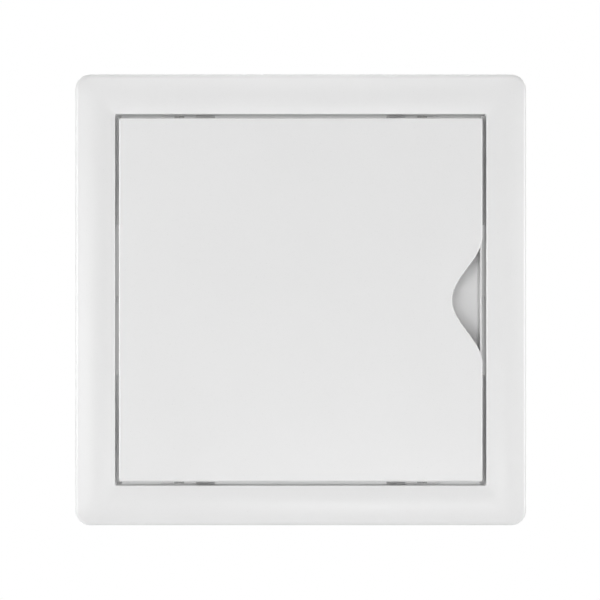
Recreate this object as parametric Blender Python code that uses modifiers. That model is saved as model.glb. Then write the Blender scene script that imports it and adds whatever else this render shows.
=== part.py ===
"""Square ceiling access panel with a hinged, flush door.

Millimetre sizes are turned to metres by MM. The front faces -Y, the neck goes
into the ceiling board along +Y, the hinge is at -X and the finger notch at +X.
The origin is the centre of the frame's opening, in the plane where the flange
seats on the board. A depth is counted from the door's front face towards +Y.
"""

import math

import bmesh
import bpy
from mathutils import Matrix, Vector

MM = 0.001

# Frame, flange and neck
OPENING_SIDE = 148.0 * MM
OPENING_CORNER_RADIUS = 0.6 * MM
OPENING_EDGE_RADIUS = 0.4 * MM
FLANGE_WIDTH = 16.0 * MM
FLANGE_EDGE_HEIGHT = 3.4 * MM
FLANGE_CROWN_RISE = 0.6 * MM
FLANGE_CORNER_RADIUS = 6.0 * MM
FLANGE_OUTER_RADIUS = 2.0 * MM
FLANGE_SKIN = 2.0 * MM
LIP_THICKNESS = 2.0 * MM
NECK_DEPTH = 19.0 * MM
NECK_WALL = 1.6 * MM
NECK_CHAMFER = 0.3 * MM
FLANGE_RIB_THICKNESS = 1.2 * MM
FLANGE_RIB_PITCH = 24.0 * MM
FLANGE_RIB_DROP = 0.4 * MM

# Door stops on the neck's inner wall
LEDGE_DEPTH = 8.3 * MM
LEDGE_THICKNESS = 2.2 * MM
LEDGE_WIDTH = 1.9 * MM
LEDGE_WINDOW_LENGTH = 60.2 * MM
TAB_WIDTH = 7.6 * MM
TAB_LENGTH = 2.6 * MM
TAB_OFFSET = 38.3 * MM

# Door
DOOR_GAP = 1.5 * MM
DOOR_THICKNESS = 2.0 * MM
DOOR_CORNER_RADIUS = 0.8 * MM
DOOR_EDGE_RADIUS = 0.5 * MM
DOOR_SEAT_CLEARANCE = 0.4 * MM
SKIRT_WALL = 1.6 * MM
SKIRT_INSET = 0.2 * MM
HINGE_SKIRT_TRIM = 1.5 * MM
DOOR_RIB_THICKNESS = 1.2 * MM
DOOR_RIB_HEIGHT = 3.0 * MM
DOOR_RIB_CORNER_CLEARANCE = 1.6 * MM

# Finger notch and the pocket behind it
NOTCH_DEPTH = 12.1 * MM
NOTCH_LENGTH = 50.8 * MM
NOTCH_STEPS = 24
POCKET_FLOOR = 1.6 * MM
POCKET_WALL = 1.6 * MM
POCKET_UNDERCUT = 5.2 * MM
POCKET_END_CLEARANCE = 1.8 * MM
POCKET_CORNER_RADIUS = 3.0 * MM
POCKET_RIM_INSET = 0.1 * MM
RIM_WALL = 0.7 * MM
RIM_DROP = 1.4 * MM

# Snap latch
NUB_RADIUS = 1.0 * MM
NUB_LENGTH = 3.0 * MM
NUB_SKIRT_CLEARANCE = 0.1 * MM
LATCH_ENGAGEMENT = 1.8 * MM
LATCH_CLEARANCE = 0.35 * MM

# Hinge
HINGE_OFFSET = 50.0 * MM
HINGE_PIN_RADIUS = 0.7 * MM
HINGE_PIN_PROUD = 0.3 * MM
HINGE_RADIUS = 1.5 * MM
KNUCKLE_LENGTH = 8.0 * MM
KNUCKLE_BORE_CLEARANCE = 0.25 * MM
EAR_THICKNESS = 3.0 * MM
EAR_LEG_LEFT = 0.2 * MM
EAR_LEG_RIGHT = 2.0 * MM
EAR_SIDE_CLEARANCE = 0.4 * MM
EAR_TOP_CLEARANCE = 0.3 * MM
SWEEP_CLEARANCE = 0.3 * MM
BRACKET_THICKNESS = 2.0 * MM
BRACKET_SWEEP_CLEARANCE = 0.6 * MM
SKIRT_NOTCH_CLEARANCE = 0.6 * MM
PIN_PRESS_CLEARANCE = 0.1 * MM

# Spring clips
CLIP_OFFSET = 49.0 * MM
CLIP_WIDTH = 14.0 * MM
CLIP_STRIP = 0.5 * MM
CLIP_SIDE_CLEARANCE = 0.5 * MM
CLIP_PIN_RADIUS = 0.7 * MM
CLIP_BORE_CLEARANCE = 0.25 * MM
CLIP_PIVOT_INSET = 2.6 * MM
CLIP_EYE_TURN = math.radians(300)
CLIP_FLARE = math.radians(18)
CLIP_LEAF_LENGTH = 8.6 * MM
CLIP_NOSE_RADIUS = 1.0 * MM
CLIP_TONGUE_WIDTH = 4.0 * MM
CLIP_HOOK_RADIUS = 0.7 * MM
CLIP_HOOK_LENGTH = 1.6 * MM
CLIP_HOOK_CLEARANCE = 0.3 * MM
CLIP_NOTCH_CLEARANCE = 0.6 * MM
BOSS_WIDTH = 3.5 * MM
BOSS_PROUD = 1.0 * MM
BOSS_END_WALL = 0.5 * MM
CLIP_PIN_END_CLEARANCE = 0.1 * MM
CLIP_PIN_SLIT = 1.0 * MM
WINDOW_HEIGHT = 4.0 * MM
WINDOW_RADIUS = 1.9 * MM

# Facets, and how far a joined piece reaches into its neighbour
CORNER_STEPS = 8
CROWN_STEPS = 8
EDGE_STEPS = 3
OUTER_EDGE_STEPS = 5
ROUND_STEPS = 16
EYE_STEPS = 14
NOSE_STEPS = 6
HOOK_STEPS = 4
OVERLAP = 0.5 * MM
SHARP_ANGLE = math.radians(30)
BEVEL_ANGLE = math.radians(60)
FLAT_ANGLE = math.radians(0.5)

# Sizes that follow from the ones above
OPENING_HALF = OPENING_SIDE / 2
NECK_HALF = OPENING_HALF + NECK_WALL
FLANGE_HALF = OPENING_HALF + FLANGE_WIDTH
FRONT_Y = -FLANGE_EDGE_HEIGHT
DOOR_HALF = OPENING_HALF - DOOR_GAP
SKIRT_HALF = DOOR_HALF - SKIRT_INSET
SKIRT_END = LEDGE_DEPTH - DOOR_SEAT_CLEARANCE
HINGE_DEPTH = DOOR_THICKNESS + EAR_TOP_CLEARANCE + HINGE_RADIUS
HINGE_ZONE_HALF = KNUCKLE_LENGTH / 2 + EAR_SIDE_CLEARANCE + EAR_THICKNESS
POCKET_SIDE_X = DOOR_HALF - NOTCH_DEPTH - POCKET_UNDERCUT
POCKET_DEPTH = SKIRT_END + NUB_SKIRT_CLEARANCE + NUB_RADIUS
NUB_DEPTH = POCKET_DEPTH
CATCH_DEPTH = NUB_DEPTH - LATCH_ENGAGEMENT
POCKET_RIM_X = SKIRT_HALF - RIM_WALL
POCKET_OUTER_X = SKIRT_HALF - POCKET_RIM_INSET
POCKET_HALF = NOTCH_LENGTH / 2 + POCKET_END_CLEARANCE
POCKET_STRAIGHT_HALF = POCKET_HALF - POCKET_CORNER_RADIUS
DOOR_RIB_OFFSET = POCKET_STRAIGHT_HALF - DOOR_RIB_CORNER_CLEARANCE - DOOR_RIB_THICKNESS / 2
CLIP_PIVOT_Y = NECK_DEPTH - CLIP_PIVOT_INSET
CLIP_PIVOT_HALF = OPENING_HALF + NECK_WALL / 2
CLIP_EYE_RADIUS = CLIP_PIN_RADIUS + CLIP_BORE_CLEARANCE + CLIP_STRIP / 2
CLIP_SLOT_HALF = CLIP_WIDTH / 2 + CLIP_SIDE_CLEARANCE
CLIP_BORE_HALF = CLIP_SLOT_HALF + BOSS_WIDTH - BOSS_END_WALL


def hinge_inset():
    """Distance from the door's edge to the hinge axis that lets the corner swing clear of the neck."""
    free = DOOR_GAP - SWEEP_CLEARANCE
    drop = HINGE_DEPTH - DOOR_EDGE_RADIUS
    return DOOR_EDGE_RADIUS + (drop**2 - free**2) / (2 * free)


HINGE_INSET = hinge_inset()
HINGE_X = -DOOR_HALF + HINGE_INSET
SWEEP_RADIUS = HINGE_INSET + DOOR_GAP - SWEEP_CLEARANCE
BRACKET_DEPTH = HINGE_DEPTH + SWEEP_RADIUS + BRACKET_SWEEP_CLEARANCE


def clear_scene():
    for item in list(bpy.data.objects):
        bpy.data.objects.remove(item, do_unlink=True)


def make_material(name, colour, roughness, metallic):
    material = bpy.data.materials.new(name)
    material.use_nodes = True
    shader = material.node_tree.nodes["Principled BSDF"]
    shader.inputs["Base Color"].default_value = (*colour, 1.0)
    shader.inputs["Roughness"].default_value = roughness
    shader.inputs["Metallic"].default_value = metallic
    return material


def make_collection(name):
    collection = bpy.data.collections.new(name)
    bpy.context.scene.collection.children.link(collection)
    return collection


def add_object(name, mesh, collection, material=None):
    item = bpy.data.objects.new(name, mesh)
    collection.objects.link(item)
    if material:
        mesh.materials.append(material)
        mesh.shade_smooth()
        mesh.set_sharp_from_angle(angle=SHARP_ANGLE)
    return item


def mesh_from(bm, name):
    bmesh.ops.recalc_face_normals(bm, faces=bm.faces)
    mesh = bpy.data.meshes.new(name)
    bm.to_mesh(mesh)
    bm.free()
    return mesh


def depth_y(depth):
    """Y of a depth that is counted from the door's front face."""
    return FRONT_Y + depth


def add_block(bm, x, depth, z):
    """Box between two x, two depths and two z values."""
    y = (depth_y(depth[0]), depth_y(depth[1]))
    size = (x[1] - x[0], y[1] - y[0], z[1] - z[0])
    centre = ((x[0] + x[1]) / 2, (y[0] + y[1]) / 2, (z[0] + z[1]) / 2)
    matrix = Matrix.Translation(centre) @ Matrix.Diagonal((*size, 1.0))
    bmesh.ops.create_cube(bm, size=1.0, matrix=matrix)


def add_rod(bm, centre, radius, length, axis):
    """Cylinder about the X or Z axis through its centre."""
    turn = Matrix.Rotation(math.pi / 2, 4, "Y") if axis == "X" else Matrix.Identity(4)
    bmesh.ops.create_cone(
        bm,
        cap_ends=True,
        segments=ROUND_STEPS,
        radius1=radius,
        radius2=radius,
        depth=length,
        matrix=Matrix.Translation(centre) @ turn,
    )


def sides(span):
    """A span, given on the + side, and the same span mirrored to the - side."""
    return (span, (-span[1], -span[0]))


def rounded_outline(low, high, radius):
    """Corner-rounded rectangle as 2D points, counter-clockwise."""
    points = []
    corners = (
        (high[0] - radius, low[1] + radius, -math.pi / 2),
        (high[0] - radius, high[1] - radius, 0.0),
        (low[0] + radius, high[1] - radius, math.pi / 2),
        (low[0] + radius, low[1] + radius, math.pi),
    )
    for across, up, start in corners:
        for step in range(CORNER_STEPS + 1):
            angle = start + math.pi / 2 * step / CORNER_STEPS
            points.append((across + radius * math.cos(angle), up + radius * math.sin(angle)))
    return points


def plate_mesh(name, outline, thickness, places):
    """Solid plates from a filled 2D curve, one for each matrix. Each is centred on its own plane."""
    curve = bpy.data.curves.new(name, "CURVE")
    curve.dimensions = "2D"
    curve.fill_mode = "BOTH"
    curve.extrude = thickness / 2
    spline = curve.splines.new("POLY")
    spline.points.add(len(outline) - 1)
    for point, (across, up) in zip(spline.points, outline):
        point.co = (across, up, 0.0, 1.0)
    spline.use_cyclic_u = True
    guide = bpy.data.objects.new(name, curve)
    bpy.context.scene.collection.objects.link(guide)
    graph = bpy.context.evaluated_depsgraph_get()
    raw = bpy.data.meshes.new_from_object(guide.evaluated_get(graph))
    bpy.data.objects.remove(guide, do_unlink=True)
    bm = bmesh.new()
    for place in places:
        copy = raw.copy()
        copy.transform(place)
        bm.from_mesh(copy)
        bpy.data.meshes.remove(copy)
    bpy.data.meshes.remove(raw)
    bmesh.ops.remove_doubles(bm, verts=bm.verts, dist=0.001 * MM)
    bmesh.ops.dissolve_limit(bm, angle_limit=FLAT_ANGLE, verts=bm.verts, edges=bm.edges)
    return mesh_from(bm, name)


def front_plate(name, outline, depth):
    """Plate with its outline in X and Z, between two depths."""
    turn = Matrix.Rotation(math.pi / 2, 4, "X")
    middle = (depth_y(depth[0]) + depth_y(depth[1])) / 2
    place = Matrix.Translation((0.0, middle, 0.0))
    return plate_mesh(name, outline, depth[1] - depth[0], [place @ turn])


def boolean(target, tool, operation):
    modifier = target.modifiers.new(f"{operation.lower()} {tool.name}", "BOOLEAN")
    modifier.operation = operation
    modifier.solver = "EXACT"
    modifier.object = tool


def make_tool(name, mesh):
    tool = add_object(name, mesh, cutters)
    tool.hide_render = True
    tool.display_type = "WIRE"
    return tool


def join(target, name, mesh):
    boolean(target, make_tool(name, mesh), "UNION")


def cut(target, name, mesh):
    boolean(target, make_tool(name, mesh), "DIFFERENCE")


def flange_profile():
    """Half size, corner radius and Y of each ring round the frame's section, as a closed loop."""
    inner_flat = OPENING_HALF + OPENING_EDGE_RADIUS
    outer_flat = FLANGE_HALF - FLANGE_OUTER_RADIUS
    rings = []

    def front_corner(half):
        share = (half - OPENING_HALF) / FLANGE_WIDTH
        return OPENING_CORNER_RADIUS + share * (FLANGE_CORNER_RADIUS - OPENING_CORNER_RADIUS)

    for step in range(EDGE_STEPS):
        angle = math.pi / 2 * step / EDGE_STEPS
        half = inner_flat - OPENING_EDGE_RADIUS * math.cos(angle)
        y = FRONT_Y + OPENING_EDGE_RADIUS * (1 - math.sin(angle))
        rings.append((half, front_corner(half), y))
    for step in range(CROWN_STEPS + 1):
        share = step / CROWN_STEPS
        half = inner_flat + share * (outer_flat - inner_flat)
        y = FRONT_Y - FLANGE_CROWN_RISE * math.sin(math.pi * share)
        rings.append((half, front_corner(half), y))
    for step in range(1, OUTER_EDGE_STEPS + 1):
        angle = math.pi / 2 * step / OUTER_EDGE_STEPS
        half = outer_flat + FLANGE_OUTER_RADIUS * math.sin(angle)
        y = FRONT_Y + FLANGE_OUTER_RADIUS * (1 - math.cos(angle))
        rings.append((half, front_corner(half), y))

    lip_half = FLANGE_HALF - LIP_THICKNESS
    lip_corner = FLANGE_CORNER_RADIUS - LIP_THICKNESS
    skin_y = FRONT_Y - FLANGE_CROWN_RISE + FLANGE_SKIN
    neck_corner = OPENING_CORNER_RADIUS + NECK_WALL
    rings.append((FLANGE_HALF, FLANGE_CORNER_RADIUS, 0.0))
    rings.append((lip_half, lip_corner, 0.0))
    rings.append((lip_half, lip_corner, skin_y))
    rings.append((NECK_HALF, neck_corner, skin_y))
    rings.append((NECK_HALF, neck_corner, NECK_DEPTH - NECK_CHAMFER))
    rings.append((NECK_HALF - NECK_CHAMFER, neck_corner - NECK_CHAMFER, NECK_DEPTH))
    rings.append((OPENING_HALF, OPENING_CORNER_RADIUS, NECK_DEPTH))
    return rings


def lofted_frame():
    """Ring of rounded squares, lofted round the closed section from flange_profile."""
    bm = bmesh.new()
    loops = []
    for half, radius, y in flange_profile():
        outline = rounded_outline((-half, -half), (half, half), radius)
        loops.append([bm.verts.new((x, y, z)) for x, z in outline])
    count = len(loops[0])
    for index, loop in enumerate(loops):
        following = loops[(index + 1) % len(loops)]
        for corner in range(count):
            after = (corner + 1) % count
            bm.faces.new((loop[corner], loop[after], following[after], following[corner]))
    return mesh_from(bm, "frame")


def frame_stops():
    """Ledges at the door's two sides, tabs at its top and bottom, and the two snap catches."""
    bm = bmesh.new()
    stop_depth = (LEDGE_DEPTH, LEDGE_DEPTH + LEDGE_THICKNESS)
    wall = OPENING_HALF + OVERLAP
    for x in sides((OPENING_HALF - LEDGE_WIDTH, wall)):
        for z in sides((LEDGE_WINDOW_LENGTH / 2, wall)):
            add_block(bm, x, stop_depth, z)
    for x in sides((TAB_OFFSET - TAB_WIDTH / 2, TAB_OFFSET + TAB_WIDTH / 2)):
        for z in sides((OPENING_HALF - TAB_LENGTH, wall)):
            add_block(bm, x, stop_depth, z)
    nub_tip = POCKET_OUTER_X + NUB_RADIUS
    catch_proud = OPENING_HALF - nub_tip - LATCH_CLEARANCE
    for side in (-1, 1):
        centre = (side * OPENING_HALF, depth_y(CATCH_DEPTH), 0.0)
        add_rod(bm, centre, catch_proud, NUB_LENGTH, "Z")
    return mesh_from(bm, "stops")


def frame_ribs():
    """Ribs that tie the flange's lip to the neck, in the hollow behind the flange."""
    bm = bmesh.new()
    top = FLANGE_EDGE_HEIGHT + FRONT_Y - FLANGE_CROWN_RISE + FLANGE_SKIN - OVERLAP
    depth = (top, FLANGE_EDGE_HEIGHT - FLANGE_RIB_DROP)
    across = (NECK_HALF - OVERLAP, FLANGE_HALF - LIP_THICKNESS + OVERLAP)
    each_way = int((OPENING_HALF - FLANGE_RIB_PITCH / 4) / FLANGE_RIB_PITCH)
    for step in range(-each_way, each_way + 1):
        middle = step * FLANGE_RIB_PITCH
        along = (middle - FLANGE_RIB_THICKNESS / 2, middle + FLANGE_RIB_THICKNESS / 2)
        for span in sides(across):
            add_block(bm, span, depth, along)
            add_block(bm, along, depth, span)
    return mesh_from(bm, "flange_ribs")


def hinge_brackets():
    """Shelves on the neck's inner wall that carry the hinge ears, on both sides of the frame."""
    bm = bmesh.new()
    depth = (BRACKET_DEPTH, BRACKET_DEPTH + BRACKET_THICKNESS)
    reach = -HINGE_X - EAR_LEG_RIGHT
    for x in sides((reach, OPENING_HALF + OVERLAP)):
        for z in sides((HINGE_OFFSET - HINGE_ZONE_HALF, HINGE_OFFSET + HINGE_ZONE_HALF)):
            add_block(bm, x, depth, z)
    return mesh_from(bm, "hinge_brackets")


def ear_middles():
    """Z of the middle of each hinge ear on one side of the frame."""
    reach = (KNUCKLE_LENGTH + EAR_THICKNESS) / 2 + EAR_SIDE_CLEARANCE
    return [level + way * reach for level in (-HINGE_OFFSET, HINGE_OFFSET) for way in (-1, 1)]


def hinge_arc(start, end):
    """Arc round the hinge axis in X and Y, as 2D points. Y grows into the neck."""
    points = []
    for step in range(CORNER_STEPS + 1):
        angle = start + (end - start) * step / CORNER_STEPS
        x = HINGE_X + HINGE_RADIUS * math.cos(angle)
        points.append((x, depth_y(HINGE_DEPTH) + HINGE_RADIUS * math.sin(angle)))
    return points


def hinge_ears():
    """Ears with a round head. Their legs stand off the axis, where the opened door leaves room."""
    side = math.acos(-EAR_LEG_LEFT / HINGE_RADIUS)
    foot = depth_y(BRACKET_DEPTH) + OVERLAP
    right = HINGE_X + EAR_LEG_RIGHT
    outline = hinge_arc(side, 2 * math.pi)
    outline.append((right, depth_y(HINGE_DEPTH) + HINGE_RADIUS))
    outline.append((right, foot))
    outline.append((HINGE_X - EAR_LEG_LEFT, foot))
    mirror = Matrix.Diagonal((-1.0, 1.0, 1.0, 1.0))
    places = [Matrix.Translation((0.0, 0.0, z)) for z in ear_middles()]
    places += [mirror @ place for place in places]
    return plate_mesh("hinge_ears", outline, EAR_THICKNESS, places)


def hinge_rods(name, radius, length, levels, xs):
    bm = bmesh.new()
    for x in xs:
        for z in levels:
            add_rod(bm, (x, depth_y(HINGE_DEPTH), z), radius, length, "Z")
    return mesh_from(bm, name)


def clip_places():
    """Name and signs of X and Z of each spring clip."""
    return [
        (f"{row}_{column}", across, up)
        for row, up in (("top", 1), ("bottom", -1))
        for column, across in (("left", -1), ("right", 1))
    ]


def clip_bosses():
    """Blocks that hold a clip's pin at both ends of its slot."""
    bm = bmesh.new()
    start = FLANGE_EDGE_HEIGHT + CLIP_PIVOT_Y - CLIP_PIVOT_INSET
    depth = (start, FLANGE_EDGE_HEIGHT + NECK_DEPTH - NECK_CHAMFER)
    up_span = (OPENING_HALF - BOSS_PROUD, NECK_HALF + BOSS_PROUD)
    slot = CLIP_SLOT_HALF
    for middle in (-CLIP_OFFSET, CLIP_OFFSET):
        for x in ((slot, slot + BOSS_WIDTH), (-slot - BOSS_WIDTH, -slot)):
            for z in sides(up_span):
                add_block(bm, (middle + x[0], middle + x[1]), depth, z)
    return mesh_from(bm, "clip_bosses")


def clip_slots():
    """Open slots in the neck's rear edge, where the clips turn on their pins."""
    bm = bmesh.new()
    eye = CLIP_EYE_RADIUS + CLIP_STRIP / 2 + CLIP_NOTCH_CLEARANCE
    start = FLANGE_EDGE_HEIGHT + CLIP_PIVOT_Y - eye
    depth = (start, FLANGE_EDGE_HEIGHT + NECK_DEPTH + OVERLAP)
    up_span = (OPENING_HALF - BOSS_PROUD - OVERLAP, NECK_HALF + BOSS_PROUD + OVERLAP)
    for middle in (-CLIP_OFFSET, CLIP_OFFSET):
        x = (middle - CLIP_SLOT_HALF, middle + CLIP_SLOT_HALF)
        for z in sides(up_span):
            add_block(bm, x, depth, z)
    return mesh_from(bm, "clip_slots")


def clip_pin_slits():
    """Slits, narrower than a pin, through which the clips' pins snap into their bores from behind."""
    bm = bmesh.new()
    depth = (FLANGE_EDGE_HEIGHT + CLIP_PIVOT_Y, FLANGE_EDGE_HEIGHT + NECK_DEPTH + OVERLAP)
    up_span = (CLIP_PIVOT_HALF - CLIP_PIN_SLIT / 2, CLIP_PIVOT_HALF + CLIP_PIN_SLIT / 2)
    for middle in (-CLIP_OFFSET, CLIP_OFFSET):
        for z in sides(up_span):
            add_block(bm, (middle - CLIP_BORE_HALF, middle + CLIP_BORE_HALF), depth, z)
    return mesh_from(bm, "clip_pin_slits")


def clip_pin_rods(name, radius, length, across, up):
    bm = bmesh.new()
    centre = (across * CLIP_OFFSET, CLIP_PIVOT_Y, up * CLIP_PIVOT_HALF)
    add_rod(bm, centre, radius, length, "X")
    return mesh_from(bm, name)


def clip_window(name, across):
    """Cutter for the oval windows in the neck's top and bottom walls, where a clip's tongue passes."""
    half = CLIP_SLOT_HALF
    middle = across * CLIP_OFFSET
    y = CLIP_PIVOT_Y - clip_tongue_reach()
    low = (middle - half, y - WINDOW_HEIGHT / 2)
    high = (middle + half, y + WINDOW_HEIGHT / 2)
    outline = rounded_outline(low, high, WINDOW_RADIUS)
    return plate_mesh(name, outline, 2 * (NECK_HALF + OVERLAP), [Matrix.Identity(4)])


def make_frame():
    frame = add_object("frame", lofted_frame(), panel, white)
    join(frame, "stops", frame_stops())
    join(frame, "flange_ribs", frame_ribs())
    join(frame, "hinge_brackets", hinge_brackets())
    join(frame, "hinge_ears", hinge_ears())
    both = (HINGE_X, -HINGE_X)
    bore = HINGE_PIN_RADIUS + PIN_PRESS_CLEARANCE
    length = 2 * (HINGE_ZONE_HALF + OVERLAP)
    levels = (-HINGE_OFFSET, HINGE_OFFSET)
    cut(frame, "ear_bores", hinge_rods("ear_bores", bore, length, levels, both))
    join(frame, "clip_bosses", clip_bosses())
    cut(frame, "clip_slots", clip_slots())
    cut(frame, "clip_pin_slits", clip_pin_slits())
    for name, across, up in clip_places():
        bore = CLIP_PIN_RADIUS + PIN_PRESS_CLEARANCE
        rod = clip_pin_rods(f"clip_bore_{name}", bore, 2 * CLIP_BORE_HALF, across, up)
        cut(frame, f"clip_bore_{name}", rod)
    cut(frame, "windows_left", clip_window("windows_left", -1))
    cut(frame, "windows_right", clip_window("windows_right", 1))


def notch_inset(z):
    """How far the finger notch cuts in from the door's edge at a height, as a raised cosine."""
    return NOTCH_DEPTH * (1 + math.cos(2 * math.pi * z / NOTCH_LENGTH)) / 2


def door_outline():
    """Door outline in X and Z, with the bell-shaped notch in its right side."""
    plain = rounded_outline((-DOOR_HALF, -DOOR_HALF), (DOOR_HALF, DOOR_HALF), DOOR_CORNER_RADIUS)
    after_first_corner = CORNER_STEPS + 1
    notch = []
    for step in range(NOTCH_STEPS + 1):
        z = NOTCH_LENGTH * (step / NOTCH_STEPS - 0.5)
        notch.append((DOOR_HALF - notch_inset(z), z))
    return plain[:after_first_corner] + notch + plain[after_first_corner:]


def pocket_cavity(name, depth):
    low = (POCKET_SIDE_X, -POCKET_HALF)
    high = (POCKET_RIM_X, POCKET_HALF)
    return front_plate(name, rounded_outline(low, high, POCKET_CORNER_RADIUS), depth)


def make_skirt():
    """Wall round the door's back, opened for the pocket and for the hinge ears."""
    depth = (RIM_DROP, SKIRT_END)
    outer = rounded_outline((-SKIRT_HALF, -SKIRT_HALF), (SKIRT_HALF, SKIRT_HALF), DOOR_CORNER_RADIUS)
    skirt = make_tool("skirt", front_plate("skirt", outer, depth))
    half = SKIRT_HALF - SKIRT_WALL
    hollow = rounded_outline((-half, -half), (half, half), DOOR_CORNER_RADIUS)
    past = (RIM_DROP - OVERLAP, SKIRT_END + OVERLAP)
    cut(skirt, "skirt_hollow", front_plate("skirt_hollow", hollow, past))
    cut(skirt, "skirt_pocket", pocket_cavity("skirt_pocket", past))
    bm = bmesh.new()
    edge = (-DOOR_HALF - OVERLAP, -half + OVERLAP)
    start = DOOR_THICKNESS - OVERLAP / 2
    reach = HINGE_ZONE_HALF + SKIRT_NOTCH_CLEARANCE
    for z in sides((HINGE_OFFSET - reach, HINGE_OFFSET + reach)):
        add_block(bm, edge, (start, SKIRT_END + OVERLAP), z)
    cut(skirt, "skirt_hinge_notches", mesh_from(bm, "skirt_hinge_notches"))
    bm = bmesh.new()
    trim = (SKIRT_END - HINGE_SKIRT_TRIM, SKIRT_END + OVERLAP)
    past_corner = (edge[0], -half + DOOR_CORNER_RADIUS + OVERLAP)
    add_block(bm, past_corner, trim, (-DOOR_HALF - OVERLAP, DOOR_HALF + OVERLAP))
    cut(skirt, "skirt_trim", mesh_from(bm, "skirt_trim"))
    return skirt


def latch_nub():
    bm = bmesh.new()
    centre = (POCKET_OUTER_X, depth_y(NUB_DEPTH), 0.0)
    add_rod(bm, centre, NUB_RADIUS, NUB_LENGTH, "Z")
    return mesh_from(bm, "latch_nub")


def make_pocket():
    """Open cup behind the notch, for the fingertips, with the snap nub on its outer wall."""
    low = (POCKET_SIDE_X - POCKET_WALL, -POCKET_HALF - POCKET_WALL)
    high = (POCKET_OUTER_X, POCKET_HALF + POCKET_WALL)
    start = DOOR_THICKNESS - OVERLAP
    outline = rounded_outline(low, high, POCKET_CORNER_RADIUS + POCKET_WALL)
    cup = make_tool("cup", front_plate("cup", outline, (start, POCKET_DEPTH + POCKET_FLOOR)))
    join(cup, "latch_nub", latch_nub())
    cut(cup, "cup_cavity", pocket_cavity("cup_cavity", (start - OVERLAP, POCKET_DEPTH)))
    return cup


def door_ribs():
    """Two ribs each way on the door's back. They stop short of the pocket and the hinge ears."""
    bm = bmesh.new()
    depth = (DOOR_THICKNESS - OVERLAP, DOOR_THICKNESS + DOOR_RIB_HEIGHT)
    end = SKIRT_HALF - SKIRT_WALL + OVERLAP
    for middle in (-DOOR_RIB_OFFSET, DOOR_RIB_OFFSET):
        across = (middle - DOOR_RIB_THICKNESS / 2, middle + DOOR_RIB_THICKNESS / 2)
        add_block(bm, across, depth, (-end, end))
    return mesh_from(bm, "door_ribs")


def door_cross_ribs():
    bm = bmesh.new()
    depth = (DOOR_THICKNESS - OVERLAP, DOOR_THICKNESS + DOOR_RIB_HEIGHT)
    left = -SKIRT_HALF + SKIRT_WALL - OVERLAP
    right = POCKET_SIDE_X - POCKET_WALL / 2
    for middle in (-DOOR_RIB_OFFSET, DOOR_RIB_OFFSET):
        up = (middle - DOOR_RIB_THICKNESS / 2, middle + DOOR_RIB_THICKNESS / 2)
        add_block(bm, (left, right), depth, up)
    return mesh_from(bm, "door_cross_ribs")


def knuckles():
    """Knuckles with a round end, which hang from the door's back between the frame's ears."""
    root = depth_y(DOOR_THICKNESS) - OVERLAP
    outline = hinge_arc(math.pi, 0.0)
    outline += [(HINGE_X + HINGE_RADIUS, root), (HINGE_X - HINGE_RADIUS, root)]
    places = [Matrix.Translation((0.0, 0.0, z)) for z in (-HINGE_OFFSET, HINGE_OFFSET)]
    return plate_mesh("knuckles", outline, KNUCKLE_LENGTH, places)


def mark_front_edges(mesh):
    """Full bevel weight on the outline of the front face, and none elsewhere."""
    bm = bmesh.new()
    bm.from_mesh(mesh)
    weight = bm.edges.layers.float.new("bevel_weight_edge")
    for edge in bm.edges:
        front = all(vert.co.y < FRONT_Y + DOOR_THICKNESS / 2 for vert in edge.verts)
        if front and edge.calc_face_angle(0.0) > BEVEL_ANGLE:
            edge[weight] = 1.0
    bm.to_mesh(mesh)
    bm.free()


def make_door():
    """The door's origin is on its hinge axis."""
    outline = door_outline()
    mesh = front_plate("door", outline, (0.0, DOOR_THICKNESS))
    mark_front_edges(mesh)
    door = add_object("door", mesh, panel, white)
    rounding = door.modifiers.new("edge rounding", "BEVEL")
    rounding.width = DOOR_EDGE_RADIUS
    rounding.segments = 3
    rounding.limit_method = "WEIGHT"
    boolean(door, make_skirt(), "UNION")
    boolean(door, make_pocket(), "UNION")
    join(door, "door_ribs", door_ribs())
    join(door, "door_cross_ribs", door_cross_ribs())
    join(door, "knuckles", knuckles())
    levels = (-HINGE_OFFSET, HINGE_OFFSET)
    bore = HINGE_PIN_RADIUS + KNUCKLE_BORE_CLEARANCE
    length = KNUCKLE_LENGTH + 2 * EAR_SIDE_CLEARANCE
    cut(door, "knuckle_bores", hinge_rods("knuckle_bores", bore, length, levels, (HINGE_X,)))


def round_rod_ends(item, radius):
    rounding = item.modifiers.new("end rounding", "BEVEL")
    rounding.width = radius / 3
    rounding.segments = 1
    rounding.limit_method = "ANGLE"
    rounding.angle_limit = BEVEL_ANGLE


def make_hinge_pins():
    length = 2 * (HINGE_ZONE_HALF + HINGE_PIN_PROUD)
    for name, level in (("hinge_pin_upper", HINGE_OFFSET), ("hinge_pin_lower", -HINGE_OFFSET)):
        mesh = hinge_rods(name, HINGE_PIN_RADIUS, length, (level,), (HINGE_X,))
        pin = add_object(name, mesh, panel, steel)
        round_rod_ends(pin, HINGE_PIN_RADIUS)


def clip_tongue_reach():
    """Distance in front of the pivot at which a clip's tongue passes the neck wall."""
    turn = math.pi / 2 + CLIP_FLARE
    leaf_start = CLIP_EYE_RADIUS * math.cos(turn)
    nose_centre = leaf_start + CLIP_LEAF_LENGTH * math.cos(CLIP_FLARE) + CLIP_NOSE_RADIUS * math.sin(CLIP_FLARE)
    return nose_centre + CLIP_NOSE_RADIUS


def arc(centre, radius, start, end, steps):
    """Points on an arc in the clip's plane, without its first point."""
    points = []
    for step in range(1, steps + 1):
        angle = start + (end - start) * step / steps
        points.append(centre + radius * Vector((math.cos(angle), math.sin(angle))))
    return points


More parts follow.
